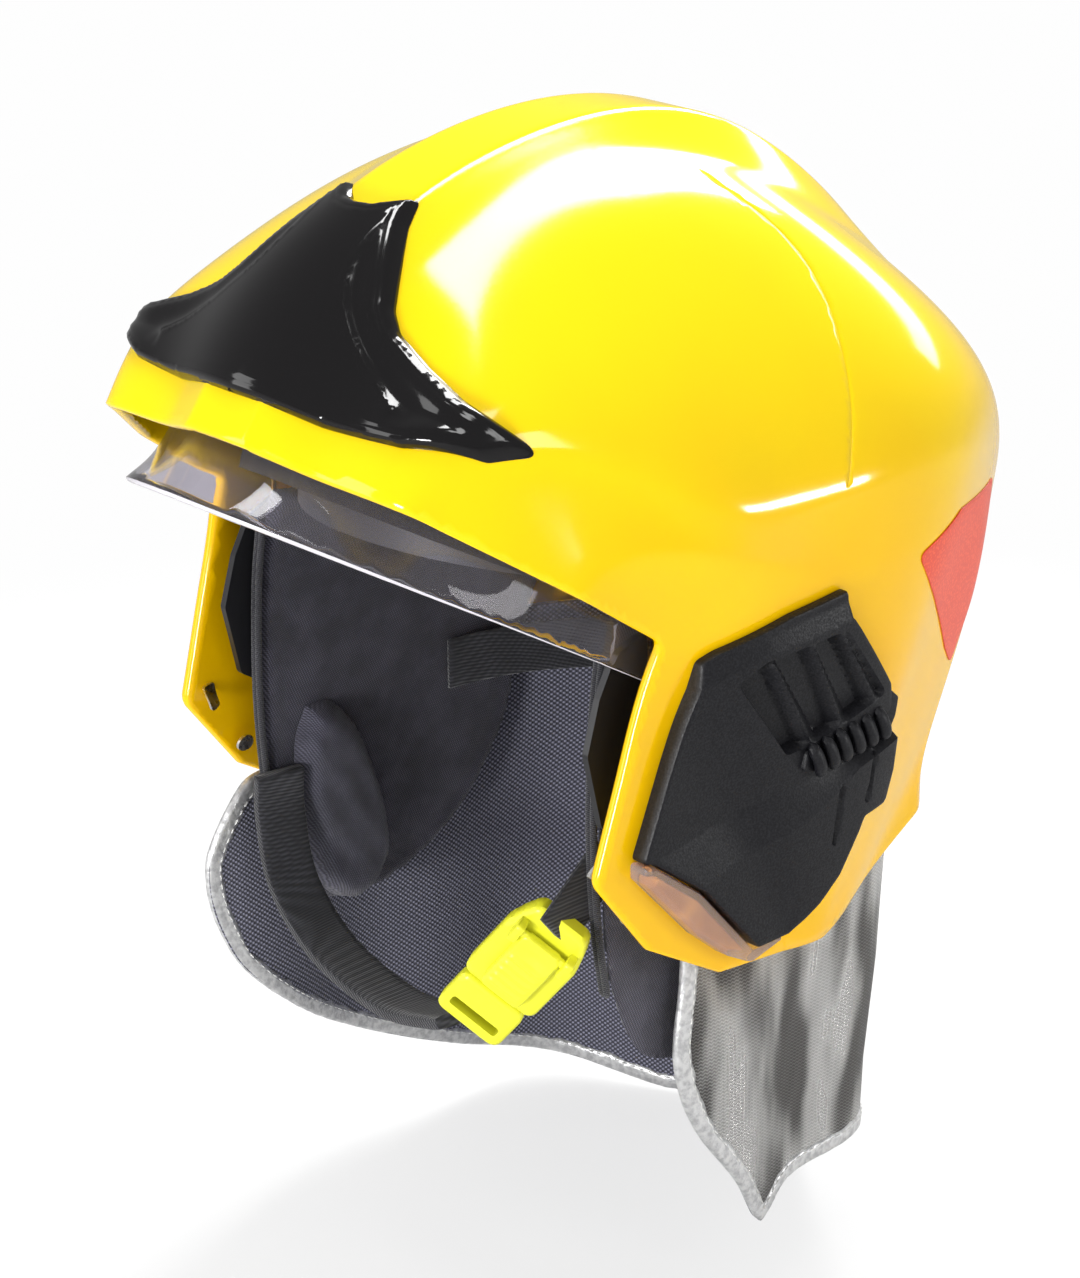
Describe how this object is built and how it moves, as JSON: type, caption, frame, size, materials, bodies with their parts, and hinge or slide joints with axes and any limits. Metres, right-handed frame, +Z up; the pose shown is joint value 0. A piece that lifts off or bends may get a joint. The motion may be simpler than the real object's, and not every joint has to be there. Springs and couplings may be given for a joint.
{
  "type": "jet style fire helmet",
  "caption": "Jet style fire helmet with a stowed clear face shield, tinted eye visor, side covers, padded liner, chin buckle and reflective neck curtain.",
  "frame": {"origin": "middle of the head inside the headband, where the head seats", "axes": "+Z up over the crown, -Y the way the face looks, +X the wearer's left"},
  "size_m": [0.2464, 0.312, 0.3921],
  "materials": {
    "amber": "amber",
    "band_plastic": "black",
    "bolt_black": "black",
    "buckle_lime": "fluorescent yellow-green",
    "carrier_black": "black",
    "clear_lens": "clear plastic, slightly frosted",
    "clear_shield": "clear polycarbonate",
    "clip_metal": "bright metal",
    "cover_black": "fine grained black",
    "curtain_grey": "dark grey woven cloth",
    "curtain_silver": "aluminised cloth",
    "gloss_black": "glossy black",
    "hem_silver": "silver binding",
    "liner_cloth": "black cloth",
    "liner_foam": "black foam",
    "pad_cloth": "dark grey cloth over foam",
    "piping_cloth": "black piping",
    "reflective_orange": "orange-red reflective film",
    "shell_yellow": "glossy yellow",
    "strap_black": "black webbing",
    "tinted_visor": "amber tinted polycarbonate"
  },
  "bodies": {
    "helmet": {"outer_shell": "shell_yellow", "front_plate": "gloss_black", "side_cover_left": "cover_black", "mask_rack_left": "cover_black", "lamp_lens_left": "clear_lens", "lamp_insert_left": "amber", "sticker_left": "reflective_orange", "pivot_bolt_left": "bolt_black", "side_liner_left": "liner_cloth", "liner_piping_left": "piping_cloth", "ear_pad_left": "pad_cloth", "jaw_clip_left": "clip_metal", "chin_strap_left": "strap_black", "side_cover_right": "cover_black", "mask_rack_right": "cover_black", "lamp_lens_right": "clear_lens", "lamp_insert_right": "amber", "sticker_right": "reflective_orange", "pivot_bolt_right": "bolt_black", "side_liner_right": "liner_cloth", "liner_piping_right": "piping_cloth", "ear_pad_right": "pad_cloth", "jaw_clip_right": "clip_metal", "chin_strap_right": "strap_black", "impact_liner": "liner_foam", "crown_cap": "liner_cloth", "headband": "band_plastic", "brow_pad": "pad_cloth", "ratchet_housing": "carrier_black", "nape_webbing": "strap_black", "buckle_body": "buckle_lime", "buckle_tongue": "buckle_lime", "curtain_outer": "curtain_silver", "curtain_lining": "curtain_grey", "curtain_hem": "hem_silver", "curtain_tie": "strap_black", "jaw_rivets": "clip_metal"},
    "face_shield": {"face_shield": "clear_shield"},
    "eye_visor": {"eye_visor": "tinted_visor", "visor_carrier_left": "carrier_black", "visor_carrier_right": "carrier_black", "carrier_screws": "carrier_black"},
    "ratchet_knob": {"ratchet_knob": "carrier_black"},
    "nape_cradle": {"nape_cradle": "band_plastic"},
    "buckle_lever": {"buckle_lever": "buckle_lime"}
  },
  "joints": [
    {"name": "face_shield_hinge", "type": "hinge", "parent": "helmet", "child": "face_shield", "pos_m": [0, 0, -0.016], "axis": [1, 0, 0], "range_deg": [0, 42]},
    {"name": "eye_visor_hinge", "type": "hinge", "parent": "helmet", "child": "eye_visor", "pos_m": [0, 0, -0.016], "axis": [1, 0, 0], "range_deg": [0, 42]},
    {"name": "ratchet_knob_turn", "type": "hinge", "parent": "helmet", "child": "ratchet_knob", "pos_m": [0, 0.107, -0.055], "axis": [0, 1, 0], "range_deg": [0, 240]},
    {"name": "nape_cradle_slide", "type": "slide", "parent": "helmet", "child": "nape_cradle", "axis": [0, -1, 0], "range_m": [0, 0.008]},
    {"name": "buckle_lever_hinge", "type": "hinge", "parent": "helmet", "child": "buckle_lever", "pos_m": [0.07324, -0.08961, -0.10989], "axis": [-0.6505, -0.4519, 0.6104], "range_deg": [0, 25], "stiffness_Nm_per_rad": 0.02}
  ],
  "couplings": [
    {"joint": "nape_cradle_slide", "follows": "ratchet_knob_turn", "m_per_rad": 0.0019}
  ]
}
